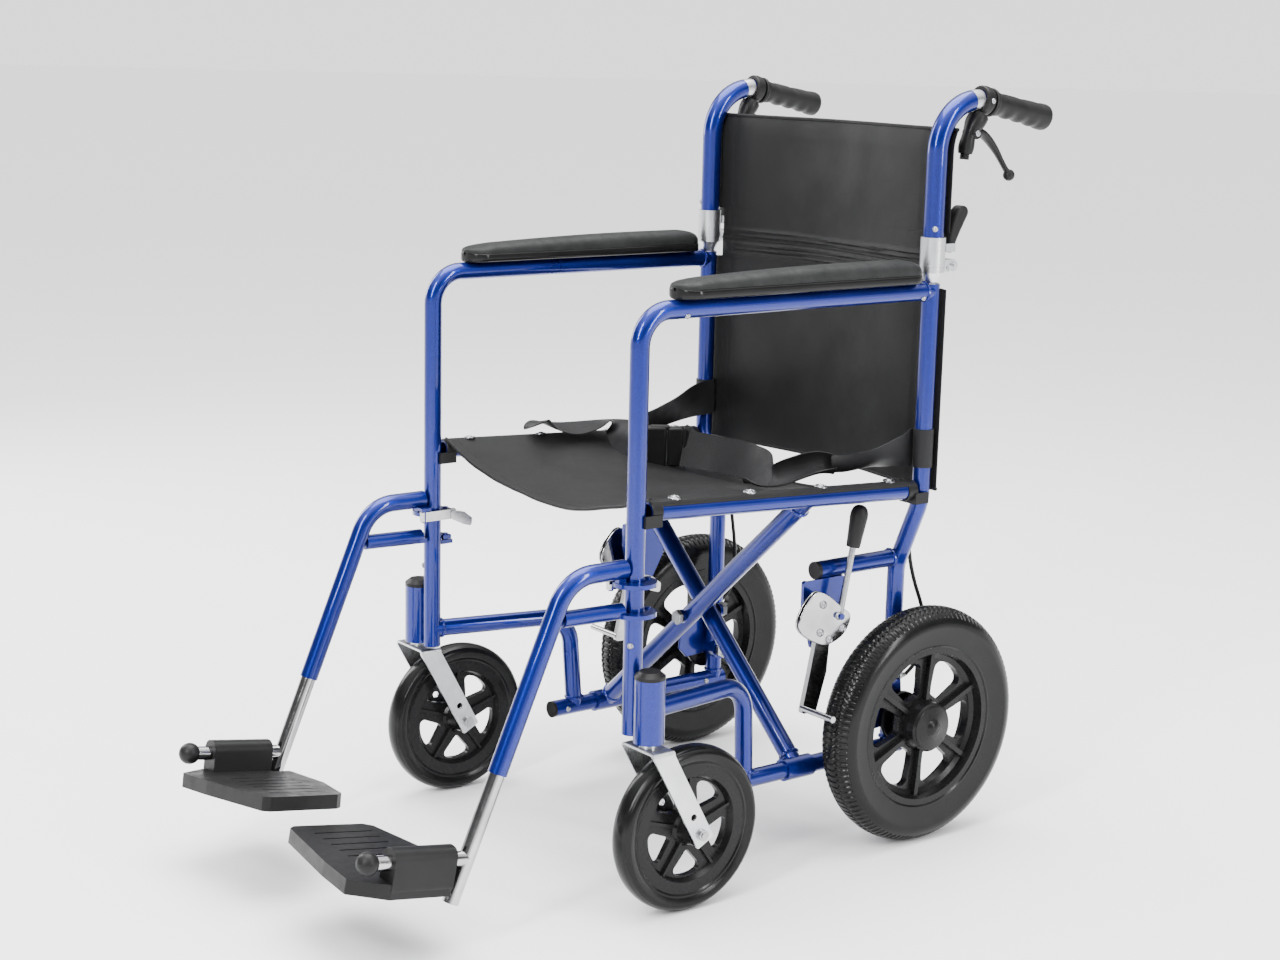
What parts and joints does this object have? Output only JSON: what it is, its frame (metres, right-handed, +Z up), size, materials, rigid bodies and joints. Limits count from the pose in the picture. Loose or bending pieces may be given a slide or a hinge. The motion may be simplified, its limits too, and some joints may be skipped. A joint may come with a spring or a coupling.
{
  "type": "transport wheelchair",
  "caption": "Folding attendant-pushed wheelchair with swing-away legrests, fold-down back, caster wheels and small rear wheels.",
  "frame": {"origin": "on the floor, under the centre of the chair's bounding box", "axes": "+Z up, the occupant faces -Y, +X is the occupant's left"},
  "size_m": [0.574, 1.0003, 0.9505],
  "materials": {
    "blue_paint": "deep blue gloss enamel with a faint metallic flake",
    "satin_aluminium": "satin cast and pressed aluminium",
    "chrome": "bright plated steel",
    "zinc_steel": "zinc plated steel",
    "black_plastic": "fine grained black nylon",
    "wheel_plastic": "moulded black composite",
    "arm_foam": "black self skinned foam with a leather-like grain",
    "grip_rubber": "matt black vinyl",
    "tyre_rubber": "black tyre rubber",
    "black_nylon": "black woven nylon, slightly shiny",
    "webbing": "black ribbed webbing",
    "cable_cover": "black cable cover"
  },
  "bodies": {
    "left_frame": {"arm_tube_left": "blue_paint", "rear_post_left": "blue_paint", "side_rail_left": "blue_paint", "frame_plugs_left": "black_plastic", "arm_pad_left": "arm_foam", "hub_brake_left": "zinc_steel", "back_clamp_left": "satin_aluminium", "park_base_left": "blue_paint", "brake_cable_left": "cable_cover", "back_sling_lower": "black_nylon", "lap_belt": "webbing"},
    "right_frame": {"arm_tube_right": "blue_paint", "rear_post_right": "blue_paint", "side_rail_right": "blue_paint", "frame_plugs_right": "black_plastic", "arm_pad_right": "arm_foam", "hub_brake_right": "zinc_steel", "back_clamp_right": "satin_aluminium", "park_base_right": "blue_paint", "brake_cable_right": "cable_cover"},
    "brace_a": {"cross_brace_left": "blue_paint"},
    "brace_b": {"cross_brace_right": "blue_paint", "seat_sling": "black_nylon"},
    "left_back": {"back_post_left": "blue_paint", "back_hinge_left": "satin_aluminium", "push_grip_left": "grip_rubber", "brake_mount_left": "black_plastic", "back_sling_upper": "black_nylon"},
    "left_caster_fork": {"caster_fork_left": "satin_aluminium", "caster_axle_left": "chrome"},
    "left_caster_wheel": {"caster_wheel_left": "wheel_plastic", "caster_tyre_left": "tyre_rubber"},
    "left_wheel": {"rear_rim_left": "wheel_plastic", "rear_tyre_left": "tyre_rubber"},
    "left_back_lever": {"back_lever_left": "black_plastic"},
    "left_brake_lever": {"brake_lever_left": "black_plastic"},
    "left_legrest_hanger": {"legrest_hanger_left": "blue_paint"},
    "left_legrest_latch": {"legrest_latch_left": "chrome"},
    "left_foot_tube": {"foot_tube_left": "chrome"},
    "left_footplate": {"footplate_left": "black_plastic"},
    "left_park_lever": {"park_lever_left": "chrome"},
    "left_park_shoe": {"park_shoe_left": "chrome"},
    "right_back": {"back_post_right": "blue_paint", "back_hinge_right": "satin_aluminium", "push_grip_right": "grip_rubber", "brake_mount_right": "black_plastic"},
    "right_caster_fork": {"caster_fork_right": "satin_aluminium", "caster_axle_right": "chrome"},
    "right_caster_wheel": {"caster_wheel_right": "wheel_plastic", "caster_tyre_right": "tyre_rubber"},
    "right_wheel": {"rear_rim_right": "wheel_plastic", "rear_tyre_right": "tyre_rubber"},
    "right_back_lever": {"back_lever_right": "black_plastic"},
    "right_brake_lever": {"brake_lever_right": "black_plastic"},
    "right_legrest_hanger": {"legrest_hanger_right": "blue_paint"},
    "right_legrest_latch": {"legrest_latch_right": "chrome"},
    "right_foot_tube": {"foot_tube_right": "chrome"},
    "right_footplate": {"footplate_right": "black_plastic"},
    "right_park_lever": {"park_lever_right": "chrome"},
    "right_park_shoe": {"park_shoe_right": "chrome"}
  },
  "joints": [
    {"name": "frame_fold", "type": "hinge", "parent": "left_frame", "child": "brace_a", "pos_m": [0.18, 0.154, 0.108], "axis": [0, 1, 0], "range_deg": [0, 36], "deforming": ["back_sling_upper", "back_sling_lower", "lap_belt"]},
    {"name": "brace_pivot", "type": "hinge", "parent": "brace_a", "child": "brace_b", "pos_m": [0, 0.138, 0.2683], "axis": [0, 1, 0], "range_deg": [-72, 0], "deforming": ["seat_sling"]},
    {"name": "right_fold", "type": "hinge", "parent": "brace_b", "child": "right_frame", "pos_m": [-0.18, 0.123, 0.108], "axis": [0, 1, 0], "range_deg": [0, 36]},
    {"name": "caster_swivel_left", "type": "hinge", "parent": "left_frame", "child": "left_caster_fork", "pos_m": [0.25, -0.134, 0.25], "axis": [0, 0, 1], "continuous": true},
    {"name": "caster_roll_left", "type": "hinge", "parent": "left_caster_fork", "child": "left_caster_wheel", "pos_m": [0.25, -0.077, 0.1], "axis": [1, 0, 0], "continuous": true},
    {"name": "wheel_roll_left", "type": "hinge", "parent": "left_frame", "child": "left_wheel", "pos_m": [0.2327, 0.312, 0.1525], "axis": [1, 0, 0], "continuous": true},
    {"name": "back_fold_left", "type": "hinge", "parent": "left_frame", "child": "left_back", "pos_m": [0.217, 0.34, 0.733], "axis": [-1, 0, 0], "range_deg": [0, 110], "deforming": ["brake_cable_left"]},
    {"name": "back_release_left", "type": "hinge", "parent": "left_back", "child": "left_back_lever", "pos_m": [0.217, 0.336, 0.755], "axis": [-1, 0, 0], "range_deg": [0, 20], "stiffness_Nm_per_rad": 0.3, "springref_deg": -22.92},
    {"name": "hand_brake_left", "type": "hinge", "parent": "left_back", "child": "left_brake_lever", "pos_m": [0.217, 0.369, 0.893], "axis": [1, 0, 0], "range_deg": [0, 22], "stiffness_Nm_per_rad": 0.8, "springref_deg": -17.19},
    {"name": "legrest_swing_left", "type": "hinge", "parent": "left_frame", "child": "left_legrest_hanger", "pos_m": [0.217, -0.115, 0.37], "axis": [0, 0, 1], "range_deg": [0, 90]},
    {"name": "legrest_latch_left", "type": "hinge", "parent": "left_legrest_hanger", "child": "left_legrest_latch", "pos_m": [0.2015, -0.156, 0.39], "axis": [0, 0, 1], "range_deg": [0, 90]},
    {"name": "foot_slide_left", "type": "slide", "parent": "left_legrest_hanger", "child": "left_foot_tube", "axis": [-0.0087, -0.395, -0.9187], "range_m": [-0.04, 0.03]},
    {"name": "footplate_flip_left", "type": "hinge", "parent": "left_foot_tube", "child": "left_footplate", "pos_m": [0.215, -0.355, 0.111], "axis": [0, 0.9862, -0.1654], "range_deg": [0, 100]},
    {"name": "park_lever_left", "type": "hinge", "parent": "left_frame", "child": "left_park_lever", "pos_m": [0.205, 0.191, 0.305], "axis": [-1, 0, 0], "range_deg": [0, 28]},
    {"name": "park_shoe_left", "type": "hinge", "parent": "left_frame", "child": "left_park_shoe", "pos_m": [0.194, 0.176, 0.277], "axis": [1, 0, 0], "range_deg": [0, 6]},
    {"name": "caster_swivel_right", "type": "hinge", "parent": "right_frame", "child": "right_caster_fork", "pos_m": [-0.25, -0.134, 0.25], "axis": [0, 0, 1], "continuous": true},
    {"name": "caster_roll_right", "type": "hinge", "parent": "right_caster_fork", "child": "right_caster_wheel", "pos_m": [-0.25, -0.077, 0.1], "axis": [1, 0, 0], "continuous": true},
    {"name": "wheel_roll_right", "type": "hinge", "parent": "right_frame", "child": "right_wheel", "pos_m": [-0.2327, 0.312, 0.1525], "axis": [1, 0, 0], "continuous": true},
    {"name": "back_fold_right", "type": "hinge", "parent": "right_frame", "child": "right_back", "pos_m": [-0.217, 0.34, 0.733], "axis": [-1, 0, 0], "range_deg": [0, 110], "deforming": ["brake_cable_right"]},
    {"name": "back_release_right", "type": "hinge", "parent": "right_back", "child": "right_back_lever", "pos_m": [-0.217, 0.336, 0.755], "axis": [-1, 0, 0], "range_deg": [0, 20], "stiffness_Nm_per_rad": 0.3, "springref_deg": -22.92},
    {"name": "hand_brake_right", "type": "hinge", "parent": "right_back", "child": "right_brake_lever", "pos_m": [-0.217, 0.369, 0.893], "axis": [1, 0, 0], "range_deg": [0, 22], "stiffness_Nm_per_rad": 0.8, "springref_deg": -17.19},
    {"name": "legrest_swing_right", "type": "hinge", "parent": "right_frame", "child": "right_legrest_hanger", "pos_m": [-0.217, -0.115, 0.37], "axis": [0, 0, -1], "range_deg": [0, 90]},
    {"name": "legrest_latch_right", "type": "hinge", "parent": "right_legrest_hanger", "child": "right_legrest_latch", "pos_m": [-0.2015, -0.156, 0.39], "axis": [0, 0, -1], "range_deg": [0, 90]},
    {"name": "foot_slide_right", "type": "slide", "parent": "right_legrest_hanger", "child": "right_foot_tube", "axis": [0.0087, -0.395, -0.9187], "range_m": [-0.04, 0.03]},
    {"name": "footplate_flip_right", "type": "hinge", "parent": "right_foot_tube", "child": "right_footplate", "pos_m": [-0.215, -0.355, 0.111], "axis": [0, -0.9862, 0.1654], "range_deg": [0, 100]},
    {"name": "park_lever_right", "type": "hinge", "parent": "right_frame", "child": "right_park_lever", "pos_m": [-0.205, 0.191, 0.305], "axis": [-1, 0, 0], "range_deg": [0, 28]},
    {"name": "park_shoe_right", "type": "hinge", "parent": "right_frame", "child": "right_park_shoe", "pos_m": [-0.194, 0.176, 0.277], "axis": [1, 0, 0], "range_deg": [0, 6]}
  ],
  "couplings": [
    {"joint": "brace_pivot", "follows": "frame_fold", "ratio": -2},
    {"joint": "right_fold", "follows": "frame_fold", "ratio": 1},
    {"joint": "legrest_latch_left", "follows": "legrest_swing_left", "ratio": 1},
    {"joint": "footplate_flip_left", "follows": "frame_fold", "ratio": 2.7778},
    {"joint": "park_shoe_left", "follows": "park_lever_left", "ratio": 0.21429},
    {"joint": "legrest_latch_right", "follows": "legrest_swing_right", "ratio": 1},
    {"joint": "footplate_flip_right", "follows": "frame_fold", "ratio": 2.7778},
    {"joint": "park_shoe_right", "follows": "park_lever_right", "ratio": 0.21429},
    {"joint": "back_fold_right", "follows": "back_fold_left", "ratio": 1}
  ]
}
